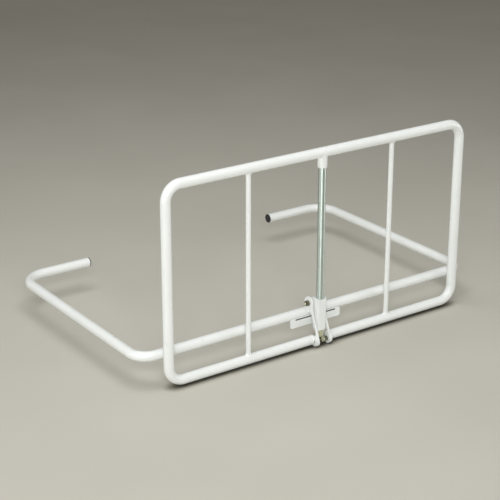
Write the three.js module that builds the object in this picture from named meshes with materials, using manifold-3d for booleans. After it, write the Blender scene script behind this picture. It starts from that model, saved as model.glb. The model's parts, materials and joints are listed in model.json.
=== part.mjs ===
// Folding bed guard rail: a bent-tube guard that hinges on a bent-tube base frame.
// Millimetres, +Z up, +X along the guard, +Y from the guard towards the mattress.
// While it is modelled, the origin is the middle of the guard's bottom rail.

import * as THREE from 'three';
import { mergeVertices } from 'three/addons/utils/BufferGeometryUtils.js';
import Module from 'manifold-3d';

const wasm = await Module();
wasm.setup();

// Tube stock
const tubeRadius = 12.7;
const tubeWall = 1.5;
const tubeSides = 16;
const bendSteps = 8;

// Guard panel, measured between tube centrelines
const guardWidth = 900;
const guardHeight = 494;
const guardBend = 40;
const barOffset = 220;
const barRadius = 6.35;
const barWall = 1.2;
const barWeldRise = 3.2;
const barWeldSpread = 3;

// Chrome rod in the middle of the guard, and the collar that holds its top
const rodRadius = 9.5;
const rodWall = 1.5;
const socketRadius = 12.4;
const socketLength = 25.5;
const socketChamfer = 0.8;

// Base frame, measured between tube centrelines
const baseHalfWidth = 511;
const baseLeg = 615;
const baseSetback = 31.5;
const baseHeight = 66.4;
const baseFrontBend = 45;
const baseRearBend = 65;
const tailLength = 204;

// Plugs in the open ends of the base frame
const plugHead = 5;
const plugRim = 2.6;
const plugStem = 18;
const plugBevel = 1;

// Pivot at the bottom of the guard, in front of and below its bottom rail
const pivotSetback = -11;
const pivotHeight = -0.5;
const pinRadius = 4;
const footWidth = 10;
const footEyeRadius = 8;
const footCupRadius = 11.3;
const footCupBase = 6;
const footHeel = 7;
const footTop = 24;
const rodSeat = 7.6;
const spacerLength = 10.6;
const spacerRadius = 5.8;
const lugThickness = 4;
const lugRadius = 13;

// Upright ears of the hinge bracket, welded to the base frame
const earThickness = 4;
const earEyeRadius = 14;
const earTopRadius = 16.5;
const earSegments = 40;
// Edges of the arm between the two eyes: places along the line from pivot to keeper, as shares
// of its length, and offsets towards the front, as shares of the top eye's radius
const earFrontShares = [
  [0.03, 0.83], [0.16, 0.82], [0.28, 0.77], [0.42, 0.68], [0.55, 0.61], [0.67, 0.58], [0.78, 0.62],
  [0.885, 0.78], [1, 1],
];
const earRearShares = [
  [1, -0.6], [0.81, -0.6], [0.755, -0.07], [0.69, 0.2], [0.55, 0.22], [0.42, 0.16], [0.35, 0.14], [0.31, 0.3],
  [0.26, 0.42], [0.19, 0.42], [0.13, 0.2], [0.1, -0.2],
];
const earWeldLeg = 3.4;

// Keeper bolt between the tops of the ears, in front of and above the base tube
const keeperAdvance = 10.5;
const keeperRise = 27.1;
const keeperRadius = 4;
const keeperSleeveRadius = 6;
const washerRadius = 8;
const washerThickness = 1.6;
const boltHeadAcrossFlats = 13;
const boltHeadHeight = 5.3;
const nutHexHeight = 5.2;
const nutCollarHeight = 2.6;
const nutCollarRadius = 5.6;
const boltEndShow = 1.8;

// Wing plate under the front of the base frame
const wingLength = 157;
const wingHeight = 24.5;
const wingThickness = 3;
const wingDrop = 4.6;
const wingCorner = 4;
const wingChamfer = 8;
const wingSlotLength = 127;
const wingSlotHeight = 3.4;
const wingSlotDrop = 3.6;
const wingWeldLength = 8;
const wingWeldRadius = 2.4;
const wingWeldDrop = 4;

// Catch: a tapered channel that slides up the rod and hooks over the keeper
const catchFront = 11.4;
const catchWall = 1.3;
const catchBottom = 25;
const catchBottomHalfWidth = 11.8;
const catchNeckHalfWidth = 12.6;
const catchNeckDrop = 11.4;
const catchCrownRise = 15.9;
const catchCrownHalfWidth = 13;
const catchCrownEdge = 9;
const catchTipRise = 2.6;
const catchTipWidth = 3;
const catchCorner = 3;
const catchRoofDrop = 7.4;
const catchRoofThickness = 2;
const catchShoulder = 5.6;
const catchShoulderDrop = 3.6;
// Rear edge of the channel's sides: places as shares of the height from the bottom to the keeper's
// sleeve, and of the depth from the rod's axis to the edge in front of the keeper
const catchRearShares = [[0, -0.35], [0.22, 0.1], [0.44, 0.5], [0.62, 0.84], [0.96, 0.96]];
// The hook's two ends, measured from the keeper along the arc about the pivot
const hookThickness = 5;
const hookReach = 11.5;
const hookShoulder = 11.9;
const hookSegments = 10;
const bushHeight = 13;
const bushFront = 4;
const bushDepth = 11.9;
const strapHeight = 14;
const strapDrop = 38;
const strapThickness = 1.7;

// Clearances
const seatGap = 0.3;
const slideGap = 0.35;
const keeperGap = 0.8;
const overrun = 1;

// Faces that follow from the sizes above
const footFace = footWidth / 2;
const spacerOuterFace = footFace + seatGap + spacerLength;
const earInnerFace = spacerOuterFace + seatGap;
const earOuterFace = earInnerFace + earThickness;
const lugInnerFace = earOuterFace + seatGap;
const lugOuterFace = lugInnerFace + lugThickness;
const railEnd = lugOuterFace + seatGap;
const tubeCorner = tubeRadius / Math.cos(Math.PI / tubeSides);
const tubeClearance = tubeCorner + seatGap;
const pivot = new THREE.Vector2(pivotSetback, pivotHeight);
const keeperSetback = baseSetback - keeperAdvance;
const keeperHeight = baseHeight + keeperRise;
const keeper = new THREE.Vector2(keeperSetback, keeperHeight);
const wingRear = baseSetback - Math.sqrt(tubeClearance ** 2 - wingDrop ** 2);
const wingFront = wingRear - wingThickness;
const wingTop = baseHeight - wingDrop;
const catchCrownHeight = keeperHeight + catchCrownRise;
const catchNeckHeight = catchCrownHeight - catchNeckDrop;
const catchTop = catchCrownHeight + catchTipRise;
const catchRoof = catchCrownHeight - catchRoofDrop;
const strapBottom = catchRoof - strapDrop;

const whitePaint = { color: 0xf2f3ee, roughness: 0.35, metalness: 0 };
const chromePlate = { color: 0xd5d9d6, roughness: 0.08, metalness: 1 };
const blackPlastic = { color: 0x16171a, roughness: 0.55, metalness: 0 };
const zincPlate = { color: 0xb7a468, roughness: 0.35, metalness: 1 };
const greyPlastic = { color: 0x8d908e, roughness: 0.5, metalness: 0 };

// The centreline of a bent tube: straight runs joined by bends, all in one plane
class BentRoute extends THREE.Curve {
  constructor(corners, bends, planeNormal) {
    super();
    this.planeNormal = planeNormal;
    this.points = [];
    this.tangents = [];
    const last = corners.length - 1;
    this.addStation(corners[0], direction(corners[0], corners[1]));
    for (let i = 1; i < last; i += 1) {
      this.addBend(corners[i - 1], corners[i], corners[i + 1], bends[i - 1]);
    }
    this.addStation(corners[last], direction(corners[last - 1], corners[last]));
  }

  addStation(point, tangent) {
    this.points.push(point.clone());
    this.tangents.push(tangent.clone());
  }

  addBend(before, corner, after, radius) {
    const incoming = direction(before, corner);
    const outgoing = direction(corner, after);
    const turn = incoming.angleTo(outgoing);
    const start = corner.clone().addScaledVector(incoming, -radius * Math.tan(turn / 2));
    const inward = outgoing.clone().addScaledVector(incoming, -incoming.dot(outgoing)).normalize();
    for (let step = 0; step <= bendSteps; step += 1) {
      const angle = turn * step / bendSteps;
      const point = start.clone();
      point.addScaledVector(incoming, radius * Math.sin(angle));
      point.addScaledVector(inward, radius * (1 - Math.cos(angle)));
      const tangent = incoming.clone().multiplyScalar(Math.cos(angle));
      this.addStation(point, tangent.addScaledVector(inward, Math.sin(angle)));
    }
  }

  get steps() {
    return this.points.length - 1;
  }

  getPoint(share) {
    const place = share * this.steps;
    const index = Math.min(Math.floor(place), this.steps - 1);
    return this.points[index].clone().lerp(this.points[index + 1], place - index);
  }

  getSpacedPoints() {
    return this.points;
  }

  computeFrenetFrames() {
    const binormals = this.points.map(() => this.planeNormal);
    const normals = this.tangents.map((tangent) => this.planeNormal.clone().cross(tangent));
    return { tangents: this.tangents, normals, binormals };
  }
}

function direction(from, to) {
  return to.clone().sub(from).normalize();
}

// Points of a regular polygon whose flats lie at the given radius
function flatPolygon(radius, sides) {
  const points = [];
  for (let i = 0; i < sides; i += 1) {
    const angle = (i + 0.5) / sides * 2 * Math.PI;
    const corner = radius / Math.cos(Math.PI / sides);
    points.push(new THREE.Vector2(corner * Math.cos(angle), corner * Math.sin(angle)));
  }
  return points;
}

function bentTube(route, radius, wall) {
  const section = new THREE.Shape(flatPolygon(radius, tubeSides));
  section.holes.push(new THREE.Path(flatPolygon(radius - wall, tubeSides)));
  return new THREE.ExtrudeGeometry(section, { steps: route.steps, extrudePath: route });
}

// A round bar along an axis, its flats at the given radius
function roundBar(axis, radius, from, to, sides = 24, endRadius = radius) {
  const corner = Math.cos(Math.PI / sides);
  const bar = new THREE.CylinderGeometry(
    endRadius / corner, radius / corner, to - from, sides, 1, false, Math.PI / sides,
  );
  bar.translate(0, (from + to) / 2, 0);
  return turnFromY(bar, axis);
}

function turnFromY(geometry, axis) {
  if (axis === 'x') geometry.rotateZ(-Math.PI / 2);
  if (axis === 'z') geometry.rotateX(Math.PI / 2);
  return geometry;
}

// A turned piece: profile points are [radius, place along the axis]
function turned(axis, profile, sides = 24) {
  const corner = Math.cos(Math.PI / sides);
  const points = profile.map(([radius, place]) => new THREE.Vector2(radius / corner, place));
  return turnFromY(new THREE.LatheGeometry(points, sides, Math.PI / sides), axis);
}

function ring(axis, innerRadius, outerRadius, from, to, sides = 24) {
  const near = [[innerRadius, from], [outerRadius, from]];
  const far = [[outerRadius, to], [innerRadius, to]];
  return turned(axis, [...near, ...far, near[0]], sides);
}

// A plate cut from an outline in the Y-Z plane, between two places along X
function sidePlate(shape, from, to, curveSegments = 12) {
  const plate = new THREE.ExtrudeGeometry(shape, { depth: to - from, bevelEnabled: false, curveSegments });
  const basis = new THREE.Matrix4().makeBasis(
    new THREE.Vector3(0, 1, 0), new THREE.Vector3(0, 0, 1), new THREE.Vector3(1, 0, 0),
  );
  return plate.applyMatrix4(basis).translate(from, 0, 0);
}

// A plate cut from an outline in the X-Z plane, between two places along Y
function frontPlate(shape, from, to, curveSegments = 8) {
  const plate = new THREE.ExtrudeGeometry(shape, { depth: to - from, bevelEnabled: false, curveSegments });
  const basis = new THREE.Matrix4().makeBasis(
    new THREE.Vector3(1, 0, 0), new THREE.Vector3(0, 0, 1), new THREE.Vector3(0, -1, 0),
  );
  return plate.applyMatrix4(basis).translate(0, to, 0);
}

function block(x, y, z) {
  const box = new THREE.BoxGeometry(x[1] - x[0], y[1] - y[0], z[1] - z[0]);
  return box.translate((x[0] + x[1]) / 2, (y[0] + y[1]) / 2, (z[0] + z[1]) / 2);
}

function mirrored(geometry) {
  const copy = mergedPositions(geometry);
  copy.scale(-1, 1, 1);
  const index = copy.index.array;
  for (let i = 0; i < index.length; i += 3) {
    [index[i], index[i + 1]] = [index[i + 1], index[i]];
  }
  return copy;
}

function mergedPositions(geometry) {
  const bare = geometry.clone();
  bare.deleteAttribute('normal');
  bare.deleteAttribute('uv');
  return mergeVertices(bare);
}

function solid(geometry) {
  const merged = mergedPositions(geometry);
  const vertProperties = new Float32Array(merged.attributes.position.array);
  const triVerts = new Uint32Array(merged.index.array);
  return new wasm.Manifold(new wasm.Mesh({ numProp: 3, vertProperties, triVerts }));
}

function geometryOf(body) {
  const mesh = body.getMesh();
  const geometry = new THREE.BufferGeometry();
  geometry.setAttribute('position', new THREE.BufferAttribute(mesh.vertProperties, mesh.numProp));
  geometry.setIndex(new THREE.BufferAttribute(mesh.triVerts, 1));
  return geometry;
}

function joined(...geometries) {
  return geometryOf(geometries.map(solid).reduce((whole, piece) => whole.add(piece)));
}

function cut(geometry, ...tools) {
  return geometryOf(tools.map(solid).reduce((whole, tool) => whole.subtract(tool), solid(geometry)));
}

function common(first, second) {
  return geometryOf(solid(first).intersect(solid(second)));
}

// The same round cut is used wherever a piece ends on a tube or passes a pin
function alongX(geometry, place) {
  return geometry.translate(0, place.x, place.y);
}

function railCut(height) {
  const half = guardWidth / 2;
  return roundBar('x', tubeClearance, -half, half).translate(0, 0, height);
}

function baseTubeCut() {
  return roundBar('x', tubeClearance, -baseHalfWidth, baseHalfWidth).translate(0, baseSetback, baseHeight);
}

function pinHole(radius, place) {
  return alongX(roundBar('x', radius + seatGap, -railEnd - overrun, railEnd + overrun), place);
}

const rail = new THREE.Group();

function addPiece(name, geometry, finish) {
  const material = new THREE.MeshStandardMaterial(finish);
  material.name = `${name}_finish`;
  geometry.computeVertexNormals();
  const mesh = new THREE.Mesh(geometry, material);
  mesh.name = name;
  rail.add(mesh);
}

// A right-hand piece and its mirror image on the left
function addPair(name, geometry, finish) {
  addPiece(`${name}_right`, geometry, finish);
  addPiece(`${name}_left`, mirrored(geometry), finish);
}

function guardFrame() {
  const half = guardWidth / 2;
  const corners = [
    new THREE.Vector3(-railEnd, 0, 0),
    new THREE.Vector3(-half, 0, 0),
    new THREE.Vector3(-half, 0, guardHeight),
    new THREE.Vector3(half, 0, guardHeight),
    new THREE.Vector3(half, 0, 0),
    new THREE.Vector3(railEnd, 0, 0),
  ];
  const bends = [guardBend, guardBend, guardBend, guardBend];
  return bentTube(new BentRoute(corners, bends, new THREE.Vector3(0, -1, 0)), tubeRadius, tubeWall);
}

function baseFrame() {
  const rear = baseSetback + baseLeg;
  const tail = baseHalfWidth - tailLength;
  const corners = [
    new THREE.Vector3(-tail, rear, baseHeight),
    new THREE.Vector3(-baseHalfWidth, rear, baseHeight),
    new THREE.Vector3(-baseHalfWidth, baseSetback, baseHeight),
    new THREE.Vector3(baseHalfWidth, baseSetback, baseHeight),
    new THREE.Vector3(baseHalfWidth, rear, baseHeight),
    new THREE.Vector3(tail, rear, baseHeight),
  ];
  const bends = [baseRearBend, baseFrontBend, baseFrontBend, baseRearBend];
  return bentTube(new BentRoute(corners, bends, new THREE.Vector3(0, 0, 1)), tubeRadius, tubeWall);
}

// Plug in the right-hand open end: a stem in the tube's bore and a domed head towards the middle
function endPlug() {
  const stemRadius = tubeRadius - tubeWall - seatGap;
  const profile = [
    [0, -plugHead],
    [tubeRadius * 0.45, -plugHead + plugBevel / 4],
    [tubeRadius * 0.8, -plugHead + plugBevel],
    [tubeRadius, -plugRim],
    [tubeRadius, -seatGap],
    [stemRadius, -seatGap],
    [stemRadius, plugStem - plugBevel],
    [stemRadius - plugBevel, plugStem],
    [0, plugStem],
  ];
  const tail = baseHalfWidth - tailLength;
  return turned('x', profile, tubeSides).translate(tail, baseSetback + baseLeg, baseHeight);
}

// A thin upright bar, coped to the round of both rails
function uprightBar() {
  const bar = ring('z', barRadius - barWall, barRadius, 0, guardHeight, 16);
  return cut(bar.translate(barOffset, 0, 0), railCut(0), railCut(guardHeight));
}

// The weld bead round a bar's end; up is 1 on the bottom rail and -1 under the top rail
function barWeld(up) {
  const railHeight = up > 0 ? 0 : guardHeight;
  const spread = barRadius + barWeldSpread;
  const rise = tubeRadius + barWeldRise;
  const start = up > 0 ? 0 : -rise;
  const end = up > 0 ? rise : 0;
  const startRadius = up > 0 ? spread : barRadius + seatGap * 2;
  const endRadius = up > 0 ? barRadius + seatGap * 2 : spread;
  const cone = roundBar('z', startRadius, start, end, 16, endRadius).translate(barOffset, 0, railHeight);
  const barCut = roundBar('z', barRadius + seatGap, -rise - overrun, rise + overrun, 16);
  return cut(cone, barCut.translate(barOffset, 0, railHeight), railCut(railHeight));
}

// The collar under the top rail, coped to the rail
function rodSocket() {
  const bore = rodRadius + seatGap;
  const bottom = guardHeight - tubeRadius - socketLength;
  const profile = [
    [bore, bottom],
    [socketRadius - socketChamfer, bottom],
    [socketRadius, bottom + socketChamfer],
    [socketRadius, guardHeight],
    [bore, guardHeight],
    [bore, bottom],
  ];
  return cut(turned('z', profile), railCut(guardHeight));
}

function slideRod() {
  const rod = ring('z', rodRadius - rodWall, rodRadius, rodSeat + seatGap, guardHeight);
  return cut(rod, railCut(guardHeight));
}

// The cup that holds the rod's lower end, its eye on the pivot pin and the web between them
function rodFoot() {
  const eye = alongX(roundBar('x', footEyeRadius, -footFace, footFace, 32), pivot);
  const cup = roundBar('z', footCupRadius, footCupBase, footTop, 32);
  const outline = new THREE.Shape();
  outline.moveTo(pivot.x, pivot.y - footEyeRadius);
  outline.lineTo(footHeel, footCupBase);
  outline.lineTo(footHeel, rodSeat);
  outline.lineTo(pivot.x, rodSeat);
  const web = sidePlate(outline, -footFace, footFace);
  const rodBore = roundBar('z', rodRadius + seatGap, rodSeat, footTop + overrun, 32);
  return cut(joined(eye, cup, web), rodBore, pinHole(pinRadius, pivot));
}

function pivotPin() {
  return alongX(roundBar('x', pinRadius, -lugOuterFace, lugOuterFace), pivot);
}

function pivotSpacer() {
  const bore = pinRadius + seatGap;
  return alongX(ring('x', bore, spacerRadius, footFace + seatGap, spacerOuterFace), pivot);
}

// A plate with round ends, from the pivot to the rail's axis
function hingeLug() {
  const reach = pivot.length();
  const lean = Math.atan2(pivot.y, pivot.x);
  const outline = new THREE.Shape();
  outline.absarc(0, 0, lugRadius, -Math.PI / 2, Math.PI / 2, false);
  outline.absarc(-reach, 0, lugRadius, Math.PI / 2, Math.PI * 1.5, false);
  const plate = sidePlate(outline, lugInnerFace, lugOuterFace);
  plate.rotateX(lean - Math.PI);
  return cut(plate, pinHole(pinRadius, pivot));
}

// A point beside the line from pivot to keeper
function besideArm([alongShare, frontShare]) {
  const arm = keeper.clone().sub(pivot);
  const forward = new THREE.Vector2(-arm.y, arm.x).normalize();
  return pivot.clone().addScaledVector(arm, alongShare).addScaledVector(forward, frontShare * earTopRadius);
}

function earArmOutline() {
  const outline = new THREE.Shape();
  outline.moveTo(pivot.x, pivot.y);
  const front = earFrontShares.map(besideArm);
  outline.lineTo(front[0].x, front[0].y);
  outline.splineThru(front.slice(1));
  outline.lineTo(keeper.x, keeper.y);
  const rear = earRearShares.map(besideArm);
  outline.lineTo(rear[0].x, rear[0].y);
  outline.splineThru(rear.slice(1));
  outline.closePath();
  return outline;
}

function earBlank(from, to) {
  const lowerEye = alongX(roundBar('x', earEyeRadius, from, to, earSegments), pivot);
  const upperEye = alongX(roundBar('x', earTopRadius, from, to, earSegments), keeper);
  return joined(sidePlate(earArmOutline(), from, to, 4), lowerEye, upperEye);
}

function wingClearance(rear = wingRear + seatGap) {
  const half = wingLength / 2 + seatGap;
  const bottom = wingTop - wingHeight - seatGap;
  return block([-half, half], [wingFront - seatGap, rear], [bottom, wingTop + seatGap]);
}

// An ear ends on the front of the wing plate and, above the plate, on the base tube
function ear() {
  const blank = earBlank(earInnerFace, earOuterFace);
  const wingCut = wingClearance(baseSetback);
  return cut(blank, baseTubeCut(), wingCut, pinHole(pinRadius, pivot), pinHole(keeperRadius, keeper));
}

// The fillet weld where an ear's outer face meets the base tube
function earWeld() {
  const face = earOuterFace + seatGap;
  const profile = [
    [tubeClearance, face],
    [tubeClearance + earWeldLeg, face],
    [tubeClearance, face + earWeldLeg],
    [tubeClearance, face],
  ];
  const bead = turned('x', profile, 32).translate(0, baseSetback, baseHeight);
  const start = face - overrun;
  const end = face + earWeldLeg + overrun;
  const washerCut = alongX(roundBar('x', washerRadius + seatGap, start, end), keeper);
  const besideEar = earBlank(start, end);
  return cut(common(bead, besideEar), wingClearance(baseSetback), washerCut);
}

function hexagon(from, to) {
  return roundBar('x', boltHeadAcrossFlats / 2, from, to, 6).rotateX(Math.PI / 6);
}

// The bolt goes in from the right and ends in a locking nut on the left
function keeperBolt() {
  const headFace = earOuterFace + washerThickness + seatGap * 2;
  const nutEnd = headFace + nutHexHeight + nutCollarHeight;
  const head = hexagon(headFace, headFace + boltHeadHeight);
  const shank = roundBar('x', keeperRadius, -nutEnd - boltEndShow, headFace + boltHeadHeight / 2);
  return alongX(joined(head, shank), keeper);
}

function keeperNut() {
  const seat = earOuterFace + washerThickness + seatGap * 2;
  const collarSeat = seat + nutHexHeight;
  const end = collarSeat + nutCollarHeight;
  const collar = roundBar('x', nutCollarRadius, -end, -collarSeat + overrun);
  const hole = roundBar('x', keeperRadius + seatGap, -end - overrun, -seat + overrun);
  return alongX(cut(joined(hexagon(-collarSeat, -seat), collar), hole), keeper);
}

function keeperWasher() {
  const start = earOuterFace + seatGap;
  return alongX(ring('x', keeperRadius + seatGap, washerRadius, start, start + washerThickness), keeper);
}

function keeperSleeve() {
  const end = earInnerFace - seatGap;
  return alongX(ring('x', keeperRadius + seatGap, keeperSleeveRadius, -end, end), keeper);
}

// The plate under the front of the base tube, with its long slot
function wingPlate() {
  const right = wingLength / 2;
  const bottom = wingTop - wingHeight;
  const outline = new THREE.Shape();
  outline.moveTo(-right + wingCorner, bottom);
  outline.lineTo(right - wingCorner, bottom);
  outline.absarc(right - wingCorner, bottom + wingCorner, wingCorner, -Math.PI / 2, 0, false);
  outline.lineTo(right, wingTop - wingChamfer);
  outline.quadraticCurveTo(right, wingTop, right - wingChamfer, wingTop);
  outline.lineTo(-right + wingChamfer, wingTop);
  outline.quadraticCurveTo(-right, wingTop, -right, wingTop - wingChamfer);
  outline.lineTo(-right, bottom + wingCorner);
  outline.absarc(-right + wingCorner, bottom + wingCorner, wingCorner, Math.PI, Math.PI * 1.5, false);
  const slotRadius = wingSlotHeight / 2;
  const slotEnd = wingSlotLength / 2 - slotRadius;
  const slotHeight = wingTop - wingSlotDrop;
  const slot = new THREE.Path();
  slot.absarc(slotEnd, slotHeight, slotRadius, -Math.PI / 2, Math.PI / 2, false);
  slot.absarc(-slotEnd, slotHeight, slotRadius, Math.PI / 2, Math.PI * 1.5, false);
  outline.holes.push(slot);
  return frontPlate(outline, wingFront, wingRear, 6);
}

// The weld bead behind the wing plate's end, in the corner between it and the base tube
function wingWeld() {
  const bead = new THREE.CapsuleGeometry(wingWeldRadius, wingWeldLength, 4, 12);
  turnFromY(bead, 'x');
  const middle = (wingSlotLength / 2 + wingLength / 2) / 2;
  bead.translate(middle, wingRear + wingWeldRadius / 2, wingTop - wingWeldDrop);
  return cut(bead, baseTubeCut(), wingClearance());
}

// Half width of the catch's channel at a height: a tapered body and a flared crown
function catchHalfWidth(height) {
  if (height > catchCrownHeight) return catchCrownHalfWidth;
  const onBody = height < catchNeckHeight;
  const low = onBody ? catchBottom : catchNeckHeight;
  const high = onBody ? catchNeckHeight : catchCrownHeight;
  const lowHalfWidth = onBody ? catchBottomHalfWidth : catchNeckHalfWidth;
  const highHalfWidth = onBody ? catchNeckHalfWidth : catchCrownHalfWidth;
  return THREE.MathUtils.mapLinear(height, low, high, lowHalfWidth, highHalfWidth);
}

// Front view of the channel: tapered sides, rounded foot, flared crown with raised corners
function catchFrontOutline() {
  const outline = new THREE.Shape();
  const foot = catchBottomHalfWidth;
  outline.moveTo(-foot + catchCorner, catchBottom);
  outline.lineTo(foot - catchCorner, catchBottom);
  outline.quadraticCurveTo(foot, catchBottom, foot, catchBottom + catchCorner);
  outline.lineTo(catchNeckHalfWidth, catchNeckHeight);
  outline.lineTo(catchCrownHalfWidth, catchCrownHeight);
  outline.lineTo(catchCrownHalfWidth, catchTop);
  outline.lineTo(catchCrownHalfWidth - catchTipWidth, catchTop);
  outline.lineTo(catchCrownEdge, catchCrownHeight);
  outline.lineTo(-catchCrownEdge, catchCrownHeight);
  outline.lineTo(-catchCrownHalfWidth + catchTipWidth, catchTop);
  outline.lineTo(-catchCrownHalfWidth, catchTop);
  outline.lineTo(-catchCrownHalfWidth, catchCrownHeight);
  outline.lineTo(-catchNeckHalfWidth, catchNeckHeight);
  outline.lineTo(-foot, catchBottom + catchCorner);
  outline.quadraticCurveTo(-foot, catchBottom, -foot + catchCorner, catchBottom);
  return outline;
}

// Side view of the channel: its sides deepen upwards and end in a hook over the keeper.
// The hook's underside is an arc about the pivot, so the guard can also fold without the lift.
function catchSideOutline() {
  const keeperReach = keeper.distanceTo(pivot);
  const innerArc = keeperReach + keeperSleeveRadius + keeperGap;
  const outerArc = innerArc + hookThickness;
  const keeperAngle = Math.atan2(keeper.y - pivot.y, keeper.x - pivot.x);
  const tipAngle = keeperAngle - hookReach / keeperReach;
  const shoulderAngle = keeperAngle + hookShoulder / keeperReach;
  const throat = keeper.x - keeperSleeveRadius - keeperGap;
  const throatBottom = keeper.y - keeperSleeveRadius;
  const throatAngle = Math.acos((throat - pivot.x) / innerArc);
  const outline = new THREE.Shape();
  outline.moveTo(-catchFront, catchBottom);
  for (const [heightShare, depthShare] of catchRearShares) {
    outline.lineTo(throat * depthShare, catchBottom + (throatBottom - catchBottom) * heightShare);
  }
  outline.lineTo(throat, throatBottom);
  outline.absarc(pivot.x, pivot.y, innerArc, throatAngle, tipAngle, true);
  outline.absarc(pivot.x, pivot.y, outerArc, tipAngle, shoulderAngle, false);
  outline.lineTo(pivot.x + outerArc * Math.cos(shoulderAngle), catchTop - catchShoulderDrop);
  outline.lineTo(catchShoulder, catchTop);
  outline.lineTo(-catchFront, catchTop);
  return outline;
}

function catchCavity(bottom, top) {
  const bends = [catchNeckHeight, catchCrownHeight].filter((height) => height > bottom && height < top);
  const heights = [bottom, ...bends, top];
  const right = heights.map((height) => new THREE.Vector2(catchHalfWidth(height) - catchWall, height));
  const left = right.map((point) => new THREE.Vector2(-point.x, point.y)).reverse();
  const outline = new THREE.Shape([...right, ...left]);
  return frontPlate(outline, -catchFront + catchWall, keeperSetback + keeperHeight);
}

function catchChannel() {
  const width = catchCrownHalfWidth + overrun;
  const depth = keeperSetback + keeperHeight;
  const side = sidePlate(catchSideOutline(), -width, width, hookSegments);
  const blank = common(side, frontPlate(catchFrontOutline(), -catchFront - overrun, depth));
  const lower = catchCavity(catchBottom - overrun, catchRoof);
  const upper = catchCavity(catchRoof + catchRoofThickness, catchTop + overrun);
  const bore = roundBar('z', rodRadius + slideGap, catchRoof - overrun, catchTop + overrun);
  return cut(blank, lower, upper, bore);
}

// The bush under the channel's roof, round the rod's sides and back
function catchBush() {
  const top = catchRoof - seatGap;
  const bottom = top - bushHeight;
  const half = catchHalfWidth(bottom) - catchWall - seatGap;
  const body = block([-half, half], [-bushFront, bushDepth], [bottom, top]);
  return cut(body, roundBar('z', rodRadius + slideGap, bottom - overrun, top + overrun));
}

// The bridge between the channel's sides behind the rod
function catchStrap() {
  const half = catchHalfWidth(strapBottom) - catchWall - seatGap;
  const front = rodRadius / Math.cos(Math.PI / 24) + slideGap;
  return block([-half, half], [front, front + strapThickness], [strapBottom, strapBottom + strapHeight]);
}

addPiece('base_frame', baseFrame(), whitePaint);
addPair('end_plug', endPlug(), blackPlastic);
addPiece('wing_plate', wingPlate(), whitePaint);
addPair('wing_weld', wingWeld(), whitePaint);
addPair('ear', ear(), whitePaint);
addPair('ear_weld', earWeld(), whitePaint);
addPiece('keeper_bolt', keeperBolt(), zincPlate);
addPiece('keeper_nut', keeperNut(), zincPlate);
addPair('keeper_washer', keeperWasher(), zincPlate);
addPiece('keeper_sleeve', keeperSleeve(), zincPlate);

addPiece('guard_frame', guardFrame(), whitePaint);
addPair('bar', uprightBar(), whitePaint);
addPair('bar_weld_lower', barWeld(1), whitePaint);
addPair('bar_weld_upper', barWeld(-1), whitePaint);
addPiece('rod_socket', rodSocket(), whitePaint);
addPiece('slide_rod', slideRod(), chromePlate);
addPiece('rod_foot', rodFoot(), zincPlate);
addPiece('pivot_pin', pivotPin(), zincPlate);
addPair('pivot_spacer', pivotSpacer(), zincPlate);
addPair('hinge_lug', hingeLug(), whitePaint);

addPiece('catch_channel', catchChannel(), whitePaint);
addPiece('catch_bush', catchBush(), greyPlastic);
addPiece('catch_strap', catchStrap(), whitePaint);

// The finished part stands on its own origin: middle of its footprint, lowest point at zero
const bounds = new THREE.Box3().setFromObject(rail);
const middle = bounds.getCenter(new THREE.Vector3());
rail.position.set(-middle.x, -middle.y, -bounds.min.z);
rail.updateMatrixWorld(true);

export default rail;
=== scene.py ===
"""Looks of the folding bed guard rail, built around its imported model."""

import contextlib
import json
import math

import bmesh
import bpy
from mathutils import Matrix, Vector


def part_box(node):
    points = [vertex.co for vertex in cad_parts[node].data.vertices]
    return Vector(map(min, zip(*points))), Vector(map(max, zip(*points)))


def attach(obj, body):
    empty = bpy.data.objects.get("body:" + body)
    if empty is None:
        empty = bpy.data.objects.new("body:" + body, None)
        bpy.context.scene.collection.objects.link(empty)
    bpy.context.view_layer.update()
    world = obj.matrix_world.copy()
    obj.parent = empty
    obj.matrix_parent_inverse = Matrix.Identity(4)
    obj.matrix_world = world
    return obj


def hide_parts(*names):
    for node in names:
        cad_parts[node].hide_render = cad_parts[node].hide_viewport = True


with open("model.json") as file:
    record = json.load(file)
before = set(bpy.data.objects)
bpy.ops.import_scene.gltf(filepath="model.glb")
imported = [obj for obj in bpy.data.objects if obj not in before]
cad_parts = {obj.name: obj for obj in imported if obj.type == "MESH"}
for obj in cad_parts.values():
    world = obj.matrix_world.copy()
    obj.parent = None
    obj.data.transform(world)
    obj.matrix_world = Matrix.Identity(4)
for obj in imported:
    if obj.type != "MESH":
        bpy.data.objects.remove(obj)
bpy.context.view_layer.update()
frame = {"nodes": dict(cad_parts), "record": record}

MM = 0.001

# Gap between pieces that are fastened together, and sides of round pieces
SEAT_GAP = 0.3 * MM
TUBE_SIDES = 64
ROUND_SIDES = 64
FASTENER_SIDES = 72

# Angles in degrees up to which neighbouring faces are shaded as one
SMOOTH_ANGLE = 35
WELD_SMOOTH_ANGLE = 60
FASTENER_SMOOTH_ANGLE = 25

# Tubes: walls, the rod's edges, bend radii, and how far a bend flattens as a share of the radius
TUBE_WALL = 1.5 * MM
BAR_WALL = 1.2 * MM
ROD_WALL = 1.5 * MM
ROD_EDGE = 0.3 * MM
GUARD_BEND = 40 * MM
BASE_FRONT_BEND = 45 * MM
BASE_REAR_BEND = 65 * MM
BEND_STEPS = 28
BEND_FLATTENING = 0.035

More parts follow.
